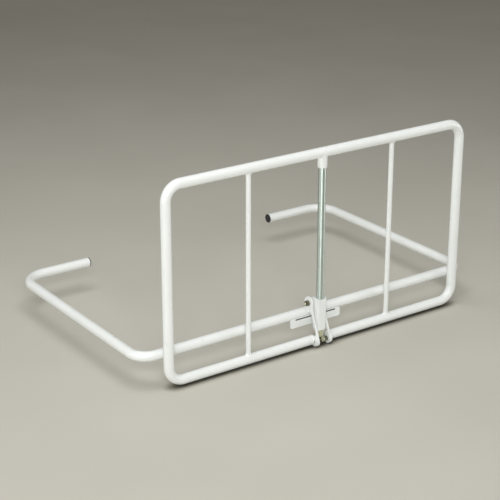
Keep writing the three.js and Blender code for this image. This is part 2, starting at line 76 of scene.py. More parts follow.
# Welds: leg along the thinner member and leg along the thicker one, ripples, belly as a share of
# the legs, places along a bead's curve, and its reach round the rail as a share of the radius
BAR_WELD = (3.1 * MM, 2.8 * MM)
SOCKET_WELD = (2.6 * MM, 1.5 * MM)
WELD_RIPPLE = 0.16 * MM
WELD_RIPPLES = 19
WELD_STEPS = 144
WELD_BELLY = 0.4
WELD_CURVE = (0, 0.2, 0.4, 0.6, 0.8, 1)
RAIL_SHOULDER = 0.995

# Chamfers at the lower end of the rod's collar
COLLAR_CHAMFER = 0.9 * MM
COLLAR_BORE_CHAMFER = 0.4 * MM

# Plugs: dimple as (depth below the crown, radius), dome as (depth, share of the tube's radius)
PLUG_HEAD = 5 * MM
PLUG_DIMPLE = [(0.5 * MM, 0), (0.5 * MM, 1.2 * MM), (0.05 * MM, 1.7 * MM), (0, 2.4 * MM)]
PLUG_DOME = [(0.15 * MM, 0.4), (0.55 * MM, 0.65), (1.2 * MM, 0.84), (2 * MM, 0.955)]
PLUG_RIM_DEPTH = 2.6 * MM
PLUG_RIM_START = 0.995
PLUG_EDGE = 0.3 * MM
PLUG_STEM_CHAMFER = 1 * MM

# Corners of turned profiles: steps of their arcs, and cosine past which a run counts as straight
CORNER_STEPS = 5
STRAIGHT = 0.999

# Keeper's screw: the disc on its head is a share of the flats, its point a share of the thread
BOLT_HEAD = 5.3 * MM
SHANK_RADIUS = 4 * MM
PLAIN_SHANK = 6 * MM
HEX_SECTOR = math.radians(60)
HEX_DISC = 0.96
HEX_CHAMFER_SLOPE = math.tan(math.radians(30))
THREAD_PITCH = 1.25 * MM
THREAD_DEPTH = 0.55 * MM
THREAD_STEP = 0.16 * MM
THREAD_POINT = 1.6

# Locking nut with its nylon ring, and edges of the keeper's fasteners
EDGE = 0.5 * MM
NUT_COLLAR = 2.6 * MM
NUT_COLLAR_RADIUS = 5.6 * MM
NUT_DOME = 0.7 * MM
NUT_DOME_CORNER = NUT_DOME * 0.3
NYLON_RADIUS = 5.1 * MM
NYLON_DEPTH = 0.15 * MM

# Pieces that keep their CAD shape, with the widths of their rounded edges in mm
EDGE_WIDTHS = {
    "ear_right": 0.6, "ear_left": 0.6, "wing_plate": 0.5, "hinge_lug_right": 0.5, "hinge_lug_left": 0.5,
    "rod_foot": 0.7, "pivot_pin": 0.5, "pivot_spacer_right": 0.4, "pivot_spacer_left": 0.4,
    "keeper_sleeve": 0.3, "catch_bush": 0.6, "catch_strap": 0.4,
    "ear_weld_right": 0.5, "ear_weld_left": 0.5, "wing_weld_right": 0.4, "wing_weld_left": 0.4,
}
EDGE_ANGLE = math.radians(28)
EDGE_SEGMENTS = 3
EDGE_PROFILE = 0.6
FLAT_ANGLE = math.radians(1)
MERGE_DISTANCE = 0.04 * MM
SAME_PLACE = 0.002 * MM

# Catch: its sheet's thickness, edges and bends, and the least part of a normal that points to the
# front or to a side on the faces that a bend joins
CHANNEL_WALL = 1.3 * MM
CHANNEL_EDGE = 0.3 * MM
CHANNEL_BEND = 1.9 * MM
BEND_SEGMENTS = 6
BEND_PROFILE = 0.5
FACES_FRONT = 0.99
FACES_SIDE = 0.9

# Tabs in the catch's crown, whose span is given by angles about the rod
CROWN_TIP = 2.6 * MM
TAB_DROP = 1 * MM
TAB_THICKNESS = 1.3 * MM
TAB_CLEARANCE = 0.5 * MM
TAB_START = math.radians(-72)
TAB_END = math.radians(25)
TAB_STEPS = 24

# Strip behind the wing plate's slot: a black sheet, painted shade that makes the slot look dark
SLOT_DROP = 3.6 * MM
SLOT_HEIGHT = 3.4 * MM
STRIP_INSET = 12 * MM
STRIP_THICKNESS = 0.8 * MM
STRIP_GAP = 0.15 * MM
STRIP_SEGMENTS = 2

# Painted shade in crevices: how far away a surface counts, and tones from shut in to open
OPENNESS_SAMPLES = 8
CREVICE_REACH = 7 * MM
CREVICE_SHADE_TONES = [
    (0.0, (0.02, 0.02, 0.018)),
    (0.35, (0.05, 0.05, 0.047)),
    (0.5, (0.8, 0.8, 0.79)),
    (0.6, (1, 1, 1)),
]
# Painted shade in the zinc's crevices
METAL_SHADE_TONES = [(0.0, (0.05, 0.05, 0.04)), (0.4, (0.12, 0.11, 0.09)), (0.75, (1, 1, 1))]
# Painted contact shadow on the floor next to the rail and the bracket
FLOOR_SHADOW_REACH = 28 * MM
FLOOR_SHADOW_TONES = [
    (0.0, (0.08, 0.08, 0.07)),
    (0.42, (0.13, 0.12, 0.1)),
    (0.68, (0.5, 0.48, 0.45)),
    (0.9, (1, 1, 1)),
]

# Finishes: span that a noise mostly covers, and the shades and roughness that it drifts between.
# Noise scales are in waves per metre
NOISE_SPAN = (0.3, 0.7)
PAINT_SHADES = ((0.85, 0.875, 0.861), (0.88, 0.905, 0.895))
PAINT_SPECKS = [(0.2, (0.96, 0.96, 0.95)), (0.5, (1, 1, 1))]
PAINT_ROUGHNESS = (0.27, 0.36)
CHROME_SHADES = ((0.56, 0.65, 0.61), (0.69, 0.775, 0.74))
CHROME_ROUGHNESS = (0.28, 0.34)
CHROME_RINGS = (30, 30, 2600)
CHROME_WEAR = (300, 300, 9)
ZINC_FILM = [
    (0.25, (0.6, 0.65, 0.49)),
    (0.45, (0.83, 0.85, 0.65)),
    (0.6, (0.78, 0.74, 0.58)),
    (0.75, (0.65, 0.72, 0.56)),
]
ZINC_DULLNESS = [(0.3, (0.78, 0.78, 0.76)), (0.6, (1, 1, 1))]
ZINC_ROUGHNESS = (0.2, 0.34)
# How dark the zinc copy for pieces in shadow is, painted shade
SHADED_ZINC_DEPTH = 0.28
BLACK_SHADES = ((0.012, 0.012, 0.013), (0.022, 0.022, 0.024))
BLACK_ROUGHNESS = (0.44, 0.56)
GREY_SHADES = ((0.3, 0.31, 0.305), (0.36, 0.37, 0.365))
GREY_ROUGHNESS = (0.39, 0.51)
FLOOR_SHADES = ((0.565, 0.548, 0.485), (0.595, 0.578, 0.515))
FLOOR_ROUGHNESS = 0.85

# Floor, far wider than the rail and mostly behind it
FLOOR_SIZE = 16
FLOOR_PLACE = (0, 2, 0)

# Lamps: place, target, size, watts, and spread in degrees. The side lamps are narrow, so that they
# leave no edge of light on the floor
LAMPS = {
    "overhead": ((-0.5, -0.3, 2.7), (0, 0, 0.1), (2.2, 1.8), 36.5, 180),
    "key": ((-2.75, -2.1, 1.7), (0, -0.2, 0.2), (1.5, 1.5), 6, 180),
    "low_fill": ((-2.9, -2.3, 0.45), (0, -0.2, 0.25), (1.8, 0.7), 17, 180),
    "camera_fill": ((-2.1, -3.3, 2.2), (0, -0.1, 0.2), (1.6, 1.2), 65, 180),
    "right_side": ((2.6, -1.7, 0.6), (0, -0.1, 0.3), (1.4, 0.8), 3.7, 80),
    "left_side": ((-3.2, 0.2, 0.6), (0, -0.2, 0.3), (1.4, 0.8), 2.8, 80),
}

# Studio walls: colour, light that they give, and tone that is seen
WALL_COLOUR = (1, 0.98, 0.88, 1)
WALL_LIGHT = 0.18
WALL_TONE = 0.34

# Camera, solved from the tubes' centrelines in the photograph. Its place is measured from the
# middle of the guard's bottom rail, and its focal length in widths of the picture
CAMERA_OFFSET = Vector((-2.0444, -2.5994, 1.5267))
CAMERA_YAW = 0.6132
CAMERA_PITCH = 0.3717
CAMERA_ROLL = 0.0003
CAMERA_FOCAL_SHARE = 1424.27 / 500
SENSOR_WIDTH = 36


# Materials

class Shader:
    """A node material that is filled in step by step."""

    def __init__(self, name):
        self.material = bpy.data.materials.new(name)
        self.material.use_nodes = True
        self.nodes = self.material.node_tree.nodes
        self.links = self.material.node_tree.links
        self.surface = self.nodes["Principled BSDF"]
        self.place = self.nodes.new("ShaderNodeTexCoord").outputs["Object"]

    def constants(self, **values):
        for name, value in values.items():
            self.surface.inputs[name.replace("_", " ")].default_value = value

    def connect(self, output, name):
        self.links.new(output, self.surface.inputs[name])

    def stretched(self, scale):
        mapping = self.nodes.new("ShaderNodeMapping")
        mapping.inputs["Scale"].default_value = scale
        self.links.new(self.place, mapping.inputs["Vector"])
        return mapping.outputs["Vector"]

    def noise(self, scale, detail=3, roughness=0.5, vector=None):
        node = self.nodes.new("ShaderNodeTexNoise")
        node.inputs["Scale"].default_value = scale
        node.inputs["Detail"].default_value = detail
        node.inputs["Roughness"].default_value = roughness
        self.links.new(vector or self.place, node.inputs["Vector"])
        return node.outputs["Fac"]

    def spots(self, scale):
        node = self.nodes.new("ShaderNodeTexVoronoi")
        node.inputs["Scale"].default_value = scale
        self.links.new(self.place, node.inputs["Vector"])
        return node.outputs["Distance"]

    def ramp(self, factor, stops):
        node = self.nodes.new("ShaderNodeValToRGB")
        elements = node.color_ramp.elements
        while len(elements) < len(stops):
            elements.new(0.5)
        for element, (position, colour) in zip(elements, stops):
            element.position = position
            element.color = (*colour, 1)
        self.links.new(factor, node.inputs["Fac"])
        return node.outputs["Color"]

    def drift(self, noise, shades):
        """A colour that drifts between two shades as the noise does."""
        return self.ramp(noise, list(zip(NOISE_SPAN, shades)))

    def between(self, noise, span):
        """A value that drifts over a span as the noise does."""
        node = self.nodes.new("ShaderNodeMapRange")
        for name, value in zip(("From Min", "From Max", "To Min", "To Max"), NOISE_SPAN + span):
            node.inputs[name].default_value = value
        self.links.new(noise, node.inputs["Value"])
        return node.outputs["Result"]

    def multiplied(self, *colours):
        node = self.nodes.new("ShaderNodeMix")
        node.data_type = "RGBA"
        node.blend_type = "MULTIPLY"
        factor, *targets = [socket for socket in node.inputs if socket.enabled]
        factor.default_value = 1
        for target, colour in zip(targets, colours):
            self.links.new(colour, target)
        return next(output for output in node.outputs if output.enabled)

    def openness(self, reach):
        """How free a place is of other surfaces within reach: 1 in the open, 0 deep in a crevice."""
        node = self.nodes.new("ShaderNodeAmbientOcclusion")
        node.samples = OPENNESS_SAMPLES
        node.inputs["Distance"].default_value = reach
        return node.outputs["AO"]

    def bump(self, height, depth, strength, over=None):
        """Relief of a height, laid over another relief."""
        node = self.nodes.new("ShaderNodeBump")
        node.inputs["Strength"].default_value = strength
        node.inputs["Distance"].default_value = depth
        self.links.new(height, node.inputs["Height"])
        if over:
            self.links.new(over, node.inputs["Normal"])
        return node.outputs["Normal"]


def white_paint(name, crevices=False):
    """Satin powder coat: orange-peel skin, slight changes of tone and gloss, and painted shade in
    crevices.
    """
    shader = Shader(name)
    tone = shader.drift(shader.noise(scale=9), PAINT_SHADES)
    specks = shader.ramp(shader.noise(scale=420, detail=2), PAINT_SPECKS)
    colour = shader.multiplied(tone, specks)
    if crevices:
        # Painted shade: the colour darkens where other surfaces are near, as shade does in crevices
        painted_shade = shader.ramp(shader.openness(CREVICE_REACH), CREVICE_SHADE_TONES)
        colour = shader.multiplied(colour, painted_shade)
    shader.connect(colour, "Base Color")
    shader.connect(shader.between(shader.noise(scale=60), PAINT_ROUGHNESS), "Roughness")
    peel = shader.bump(shader.noise(scale=750, detail=2), depth=0.12 * MM, strength=0.55)
    waves = shader.bump(shader.noise(scale=190, detail=2), depth=0.3 * MM, strength=0.3, over=peel)
    shader.connect(waves, "Normal")
    shader.constants(IOR=1.5, Coat_Weight=0.25, Coat_Roughness=0.14)
    return shader.material


def chrome_plate():
    """Bright plate over a ground rod, whose fine rings spread each reflection along the rod."""
    shader = Shader("chrome_over_ground_rod")
    rings = shader.noise(scale=1, roughness=0.6, vector=shader.stretched(CHROME_RINGS))
    shader.connect(shader.drift(rings, CHROME_SHADES), "Base Color")
    wear = shader.noise(scale=1, detail=2, vector=shader.stretched(CHROME_WEAR))
    shader.connect(shader.between(wear, CHROME_ROUGHNESS), "Roughness")
    shader.connect(shader.bump(rings, depth=0.06 * MM, strength=0.5), "Normal")
    shader.constants(Metallic=1, Anisotropic=1, Anisotropic_Rotation=0.25)
    tangent = shader.nodes.new("ShaderNodeTangent")
    tangent.direction_type = "RADIAL"
    tangent.axis = "Z"
    shader.connect(tangent.outputs["Tangent"], "Tangent")
    return shader.material


def zinc_plate(name, depth=1):
    """Yellow passivated zinc, whose film drifts between straw, olive and rose, with painted shade in
    crevices. A depth below 1 darkens the film, painted shade for pieces in shadow.
    """
    shader = Shader(name)
    stops = [(place, tuple(depth * part for part in colour)) for place, colour in ZINC_FILM]
    film = shader.ramp(shader.noise(scale=150), stops)
    dull = shader.ramp(shader.noise(scale=600), ZINC_DULLNESS)
    # Painted shade: the zinc darkens where other surfaces are near
    painted_shade = shader.ramp(shader.openness(CREVICE_REACH), METAL_SHADE_TONES)
    shader.connect(shader.multiplied(shader.multiplied(film, dull), painted_shade), "Base Color")
    shader.connect(shader.between(shader.noise(scale=900, detail=2), ZINC_ROUGHNESS), "Roughness")
    grain = shader.bump(shader.noise(scale=1400, detail=2), depth=0.08 * MM, strength=0.4)
    shader.connect(grain, "Normal")
    shader.constants(Metallic=1)
    return shader.material


def moulded_plastic(name, shades, roughness):
    """Spark-eroded mould texture with slight changes of tone."""
    shader = Shader(name)
    shader.connect(shader.drift(shader.noise(scale=160), shades), "Base Color")
    shader.connect(shader.between(shader.noise(scale=500, detail=2), roughness), "Roughness")
    shader.connect(shader.bump(shader.spots(scale=1900), depth=0.05 * MM, strength=0.5), "Normal")
    return shader.material


def floor_finish():
    """A plain pale floor, with faint mottling as of seamless paper, and a painted shadow where the rail
    and bracket come near it.
    """
    shader = Shader("pale_floor")
    tone = shader.drift(shader.noise(scale=2.2, detail=2), FLOOR_SHADES)
    # Painted shadow: the floor darkens next to the rail and the bracket
    painted_shadow = shader.ramp(shader.openness(FLOOR_SHADOW_REACH), FLOOR_SHADOW_TONES)
    shader.connect(shader.multiplied(tone, painted_shadow), "Base Color")
    shader.constants(Roughness=FLOOR_ROUGHNESS)
    return shader.material


FINISHES = {
    "white_paint": white_paint("white_powder_coat"),
    "chrome_plate": chrome_plate(),
    "zinc_plate": zinc_plate("yellow_zinc"),
    "black_plastic": moulded_plastic("black_moulding", BLACK_SHADES, BLACK_ROUGHNESS),
    "grey_plastic": moulded_plastic("grey_moulding", GREY_SHADES, GREY_ROUGHNESS),
}
# White paint with painted shade in its crevices, for the wing plate
PAINT_WITH_CREVICE_SHADE = white_paint("white_powder_coat_with_painted_shade", crevices=True)
# A darker copy of the zinc, painted shade for the spacers and the nut in shadow
SHADED_ZINC = zinc_plate("zinc_with_painted_shade", SHADED_ZINC_DEPTH)
SPECIAL_FINISHES = {
    "wing_plate": PAINT_WITH_CREVICE_SHADE,
    "pivot_spacer_right": SHADED_ZINC,
    "pivot_spacer_left": SHADED_ZINC,
}
BODY_OF = {
    node: body for body, nodes in frame["record"]["behaviour"]["bodies"].items() for node in nodes
}
SLOT_OF = {part["node"]: part["material_slot"] for part in frame["record"]["subparts"]}


# Meshes

@contextlib.contextmanager
def edited(mesh):
    """A mesh opened for editing, and written back at the end."""
    bm = bmesh.new()
    bm.from_mesh(mesh)
    yield bm
    bm.to_mesh(mesh)
    bm.free()


def mesh_of(name, rings, capped=False):
    """A mesh through closed rings of points, with capped ends, or else from the last ring to the first."""
    count = len(rings[0])
    points = [point for ring in rings for point in ring]
    faces = []
    last = len(rings) - 1 if capped else len(rings)
    for r in range(last):
        here, after = r * count, (r + 1) % len(rings) * count
        for i in range(count):
            j = (i + 1) % count
            faces.append((here + i, here + j, after + j, after + i))
    if capped:
        faces.append(tuple(reversed(range(count))))
        faces.append(tuple(range(last * count, (last + 1) * count)))
    mesh = bpy.data.meshes.new(name)
    mesh.from_pydata(points, [], faces)
    with edited(mesh) as bm:
        bmesh.ops.recalc_face_normals(bm, faces=bm.faces)
    return mesh


def circle_angles(count):
    return [2 * math.pi * i / count for i in range(count)]


def around(axis, place, along, radius, angle):
    """A point at an angle about the X or Z axis through a place."""
    c, s = radius * math.cos(angle), radius * math.sin(angle)
    offset = (along, c, s) if axis == "x" else (c, s, along)
    return place + Vector(offset)


def ring_about(axis, place, along, radius, sides=ROUND_SIDES):
    return [around(axis, place, along, radius, angle) for angle in circle_angles(sides)]


def bent_route(corners, bends):
    """Stations (place, direction, flattening) along straight runs joined by bends."""
    stations = [(corners[0], (corners[1] - corners[0]).normalized(), 0)]
    for before, corner, after, radius in zip(corners, corners[1:], corners[2:], bends):
        incoming = (corner - before).normalized()
        outgoing = (after - corner).normalized()
        turn = incoming.angle(outgoing)
        start = corner - incoming * radius * math.tan(turn / 2)
        inward = (outgoing - incoming * incoming.dot(outgoing)).normalized()
        for step in range(BEND_STEPS + 1):
            share = step / BEND_STEPS
            angle = turn * share
            place = start + incoming * radius * math.sin(angle) + inward * radius * (1 - math.cos(angle))
            along = incoming * math.cos(angle) + inward * math.sin(angle)
            stations.append((place, along, BEND_FLATTENING * math.sin(math.pi * share)))
    stations.append((corners[-1], (corners[-1] - corners[-2]).normalized(), 0))
    return stations


def bent_tube(name, corners, bends, plane_normal, radius, wall):
    """A hollow tube along a flat route: outer skin, bore and two ring-shaped ends."""
    outer, inner = [], []
    for place, along, flattening in bent_route(corners, bends):
        side = plane_normal.cross(along)
        for rings, size in ((outer, radius), (inner, radius - wall)):
            across = side * size * (1 - flattening)
            ring = []
            for angle in circle_angles(TUBE_SIDES):
                ring.append(place + across * math.cos(angle) + plane_normal * size * math.sin(angle))
            rings.append(ring)
    return mesh_of(name, outer + inner[::-1])


def turned(name, profile, axis, place):
    """A turned body from (place along the axis, radius) pairs, solid if they start on the axis."""
    rings = [ring_about(axis, place, along, radius) for along, radius in profile if radius > 0]
    return mesh_of(name, rings, capped=profile[0][1] == 0)


def rounded(start, corner, end, radius):
    """Points of a small arc at a corner of a profile."""
    to_start, to_end = (start - corner).normalized(), (end - corner).normalized()
    half = to_start.angle(to_end) / 2
    reach = min(radius / math.tan(half), (start - corner).length, (end - corner).length)
    centre = corner + (to_start + to_end).normalized() * reach / math.cos(half)
    first = corner + to_start * reach - centre
    last = corner + to_end * reach - centre
    turn = first.angle_signed(last)
    points = []
    for step in range(CORNER_STEPS + 1):
        angle = -turn * step / CORNER_STEPS
        c, s = math.cos(angle), math.sin(angle)
        points.append(centre + Vector((first.x * c - first.y * s, first.x * s + first.y * c)))
    return points


def softened(profile, radius):
    """The profile with its corners off the axis rounded."""
    points = [Vector(p) for p in profile]
    result = []
    for i, point in enumerate(points):
        before, after = points[i - 1], points[(i + 1) % len(points)]
        on_end = point.y == 0 or (before - point).length == 0 or (after - point).length == 0
        if on_end or abs((before - point).normalized().dot((after - point).normalized())) > STRAIGHT:
            result.append(point)
        else:
            result.extend(rounded(before, point, after, radius))
    return [(p.x, p.y) for p in result]


def sleeve_profile(start, end, inner, outer, edge):
    """The section of a plain sleeve with rounded edges."""
    return softened([(start, inner), (start, outer), (end, outer), (end, inner)], edge)


def coped_tube(name, centre, radius, wall, low_axis, high_axis, rail_radius):
    """An upright tube whose ends follow the round of the rails below and above it."""
    rings = []
    for size, high in ((radius, False), (radius, True), (radius - wall, True), (radius - wall, False)):
        ring = []
        for angle in circle_angles(ROUND_SIDES):
            x, y = size * math.cos(angle), size * math.sin(angle)
            dip = math.sqrt(rail_radius**2 - y**2)
            ring.append(Vector((centre.x + x, centre.y + y, high_axis - dip if high else low_axis + dip)))
        rings.append(ring)
    return mesh_of(name, rings)


def saddle_weld(name, centre, rail_axis, up, radius, rail_radius, legs):
    """The fillet round an upright's end on a rail, laid in overlapping ripples."""
    rise, spread = legs
    widest = rail_radius * RAIL_SHOULDER
    rings = []
    for angle in circle_angles(WELD_STEPS):
        c, s = math.cos(angle), math.sin(angle)
        ripple = WELD_RIPPLE * (0.5 + 0.5 * math.cos(WELD_RIPPLES * angle)) ** 0.5

        def on_rail(reach):
            y = min(max(reach * s, -widest), widest)
            return Vector((reach * c, y, math.sqrt(rail_radius**2 - y**2)))

        root = on_rail(radius)
        top = root + Vector((0, 0, rise))
        toe = on_rail(radius + spread)
        out = Vector((c, s, 0)) * (spread * WELD_BELLY + ripple)
        belly = root + out + Vector((0, 0, rise * WELD_BELLY + ripple))
        ring = [root] + [top.lerp(belly, t).lerp(belly.lerp(toe, t), t) for t in WELD_CURVE]
        rings.append([Vector((centre.x + p.x, centre.y + p.y, rail_axis + up * p.z)) for p in ring])
    return mesh_of(name, rings)


def softened_copy(node, width, press=None):
    """A CAD node's mesh with its sharp edges rounded, after press has worked on it."""
    bm = bmesh.new()
    bm.from_mesh(frame["nodes"][node].data)
    bmesh.ops.remove_doubles(bm, verts=bm.verts, dist=MERGE_DISTANCE)
    bmesh.ops.dissolve_limit(bm, angle_limit=FLAT_ANGLE, verts=bm.verts, edges=bm.edges)
    if press:
        press(bm)
        bmesh.ops.remove_doubles(bm, verts=bm.verts, dist=SAME_PLACE)
        bmesh.ops.dissolve_degenerate(bm, edges=bm.edges, dist=SAME_PLACE)
    mesh = bpy.data.meshes.new(node + "_soft")
    bm.to_mesh(mesh)
    bm.free()
    return bevelled(mesh, width, EDGE_SEGMENTS)


def round_channel_bends(bm):
    """Rounds the outside of the upright bends between a channel's front and its sides."""
    bends = []
    for edge in bm.edges:
        outward = math.copysign(1, edge.verts[0].co.x)
        normals = [face.normal for face in edge.link_faces]
        faces_front = any(-normal.y > FACES_FRONT for normal in normals)
        faces_side = any(normal.x * outward > FACES_SIDE for normal in normals)
        if faces_front and faces_side:
            bends.append(edge)
    bmesh.ops.bevel(
        bm, geom=bends, offset=CHANNEL_BEND, segments=BEND_SEGMENTS, profile=BEND_PROFILE, affect="EDGES"
    )


def bevelled(mesh, width, segments):
    """The mesh with its sharp edges rounded."""
    carrier = bpy.data.objects.new("carrier", mesh)
    bpy.context.scene.collection.objects.link(carrier)
    bevel = carrier.modifiers.new("edges", "BEVEL")
    bevel.limit_method = "ANGLE"
    bevel.angle_limit = EDGE_ANGLE
    bevel.width = width
    bevel.segments = segments
    bevel.profile = EDGE_PROFILE
    bpy.context.view_layer.update()
    result = bpy.data.meshes.new_from_object(carrier.evaluated_get(bpy.context.evaluated_depsgraph_get()))
    result.name = mesh.name
    bpy.data.objects.remove(carrier)
    with edited(result) as bm:
        bmesh.ops.dissolve_degenerate(bm, edges=bm.edges, dist=SAME_PLACE)
    return result


def hex_radius(angle, across_flats):
    return across_flats / 2 / math.cos((angle + HEX_SECTOR / 2) % HEX_SECTOR - HEX_SECTOR / 2)


def hexagon_rings(place, start, end, across_flats):
    """Rings of a hexagon along X whose corners are chamfered at both ends."""
    rings = []
    flat = across_flats / 2 * HEX_DISC
    for along, inward in ((start, 1), (end, -1)):
        disc, side = [], []
        for angle in circle_angles(FASTENER_SIDES):
            size = hex_radius(angle, across_flats)
            back = (size - flat) * HEX_CHAMFER_SLOPE
            disc.append(around("x", place, along, flat, angle))
            side.append(around("x", place, along + inward * back, size, angle))
        rings += [disc, side] if inward > 0 else [side, disc]
    return rings


def threaded_rings(place, start, end, radius):
    """Rings of a threaded shank along X, with a pointed last turn."""
    rings = []
    count = round(abs(end - start) / THREAD_STEP)
    for step in range(count + 1):
        along = start + (end - start) * step / count
        left = abs(end - along)
        ring = []
        for angle in circle_angles(FASTENER_SIDES):
            phase = (along / THREAD_PITCH - angle / (2 * math.pi)) % 1
            groove = THREAD_DEPTH * (1 - abs(2 * phase - 1))
            size = min(radius - groove, radius - THREAD_DEPTH * THREAD_POINT + left)
            ring.append(around("x", place, along, size, angle))
        rings.append(ring)
    return rings


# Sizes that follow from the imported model
guard_low, guard_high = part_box("guard_frame")
base_low, base_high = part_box("base_frame")
bar_low, bar_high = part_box("bar_right")
rod_low, rod_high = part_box("slide_rod")
socket_low, socket_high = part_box("rod_socket")
bolt_low, bolt_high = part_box("keeper_bolt")
nut_low, nut_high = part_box("keeper_nut")
sleeve_low, sleeve_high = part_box("keeper_sleeve")
TUBE_RADIUS = (guard_high.y - guard_low.y) / 2
GUARD_PLANE = (guard_high.y + guard_low.y) / 2
GUARD_MIDDLE = Vector((0, GUARD_PLANE, 0))
BOTTOM_RAIL = guard_low.z + TUBE_RADIUS
TOP_RAIL = guard_high.z - TUBE_RADIUS
GUARD_HALF = guard_high.x - TUBE_RADIUS
RAIL_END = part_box("hinge_lug_right")[1].x + SEAT_GAP
BASE_LEVEL = (base_low.z + base_high.z) / 2
BASE_HALF = base_high.x - TUBE_RADIUS
BASE_FRONT = base_low.y + TUBE_RADIUS
BASE_REAR = base_high.y - TUBE_RADIUS
PLUG_LOW, PLUG_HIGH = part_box("end_plug_right")
BAR_PLACE = (bar_low.x + bar_high.x) / 2
BAR_RADIUS = (bar_high.y - bar_low.y) / 2
ROD_RADIUS = (rod_high.y - rod_low.y) / 2
SOCKET_RADIUS = (socket_high.y - socket_low.y) / 2
KEEPER = (sleeve_low + sleeve_high) / 2
KEEPER_AXIS = Vector((0, KEEPER.y, KEEPER.z))
ACROSS_FLATS = nut_high.y - nut_low.y


# Pieces

def shade(mesh, angle):
    """Smooth shading with creases where faces meet at more than the angle."""
    limit = math.radians(angle)
    with edited(mesh) as bm:
        for face in bm.faces:
            face.smooth = True
        for edge in bm.edges:
            if len(edge.link_faces) == 2:
                edge.smooth = edge.calc_face_angle(0) < limit


def add_piece(name, mesh, body, slot, smooth_angle=SMOOTH_ANGLE, finish=None):
    """Puts a mesh on a body with the finish of a material slot."""
    piece = bpy.data.objects.new(name, mesh)
    bpy.context.scene.collection.objects.link(piece)
    shade(mesh, smooth_angle)
    mesh.materials.clear()
    mesh.materials.append(finish or FINISHES[slot])
    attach(piece, body)
    return piece


def place_piece(name, mesh, nodes, smooth_angle=SMOOTH_ANGLE, finish=None):
    """Shows a mesh in place of CAD nodes, with their finish and on their body."""
    piece = add_piece(name, mesh, BODY_OF[nodes[0]], SLOT_OF[nodes[0]], smooth_angle, finish)
    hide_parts(*nodes)


def guard_tube():
    y = GUARD_PLANE
    corners = [
        Vector((-RAIL_END, y, BOTTOM_RAIL)),
        Vector((-GUARD_HALF, y, BOTTOM_RAIL)),
        Vector((-GUARD_HALF, y, TOP_RAIL)),
        Vector((GUARD_HALF, y, TOP_RAIL)),
        Vector((GUARD_HALF, y, BOTTOM_RAIL)),
        Vector((RAIL_END, y, BOTTOM_RAIL)),
    ]
    mesh = bent_tube("guard_tube", corners, [GUARD_BEND] * 4, Vector((0, -1, 0)), TUBE_RADIUS, TUBE_WALL)
    place_piece("guard_tube", mesh, ["guard_frame"])


def base_tube():
    z = BASE_LEVEL
    tail = PLUG_LOW.x + PLUG_HEAD
    corners = [
        Vector((-tail, BASE_REAR, z)),
        Vector((-BASE_HALF, BASE_REAR, z)),
        Vector((-BASE_HALF, BASE_FRONT, z)),
        Vector((BASE_HALF, BASE_FRONT, z)),
        Vector((BASE_HALF, BASE_REAR, z)),
        Vector((tail, BASE_REAR, z)),
    ]
    bends = [BASE_REAR_BEND, BASE_FRONT_BEND, BASE_FRONT_BEND, BASE_REAR_BEND]
    mesh = bent_tube("base_tube", corners, bends, Vector((0, 0, 1)), TUBE_RADIUS, TUBE_WALL)
    place_piece("base_tube", mesh, ["base_frame"])


def end_plugs():
    """Domed plugs with a rim on the tube's end and a dimple where they were moulded."""
    rim = TUBE_RADIUS
    stem = TUBE_RADIUS - TUBE_WALL - SEAT_GAP
    stem_end = PLUG_HIGH.x - PLUG_LOW.x - PLUG_HEAD
    profile = [(depth - PLUG_HEAD, radius) for depth, radius in PLUG_DIMPLE]
    profile += [(depth - PLUG_HEAD, rim * share) for depth, share in PLUG_DOME]
    profile += [
        (-PLUG_RIM_DEPTH, rim * PLUG_RIM_START),
        (-PLUG_RIM_DEPTH + PLUG_EDGE, rim),
        (-SEAT_GAP - PLUG_EDGE, rim),
        (-SEAT_GAP, rim - PLUG_EDGE),
        (-SEAT_GAP, stem),
        (stem_end - PLUG_STEM_CHAMFER, stem),
        (stem_end, stem - PLUG_STEM_CHAMFER),
        (stem_end, 0),
    ]
    place = Vector((PLUG_LOW.x + PLUG_HEAD, BASE_REAR, BASE_LEVEL))
    right = turned("plug_right", profile, "x", place)
    flipped = [(-along, radius) for along, radius in profile]
    left = turned("plug_left", flipped, "x", Vector((-place.x, place.y, place.z)))
    place_piece("plug_right", right, ["end_plug_right"])
    place_piece("plug_left", left, ["end_plug_left"])


def upright_bars():
    """The two thin bars and the weld beads at their ends."""
    for side, name in ((1, "right"), (-1, "left")):
        centre = Vector((side * BAR_PLACE, GUARD_PLANE, 0))
        title = f"thin_bar_{name}"
        bar = coped_tube(title, centre, BAR_RADIUS, BAR_WALL, BOTTOM_RAIL, TOP_RAIL, TUBE_RADIUS)
        place_piece(title, bar, [f"bar_{name}"])
        for level, up, rail in (("lower", 1, BOTTOM_RAIL), ("upper", -1, TOP_RAIL)):
            title = f"bar_bead_{level}_{name}"
            weld = saddle_weld(title, centre, rail, up, BAR_RADIUS, TUBE_RADIUS, BAR_WELD)
            place_piece(title, weld, [f"bar_weld_{level}_{name}"], WELD_SMOOTH_ANGLE)


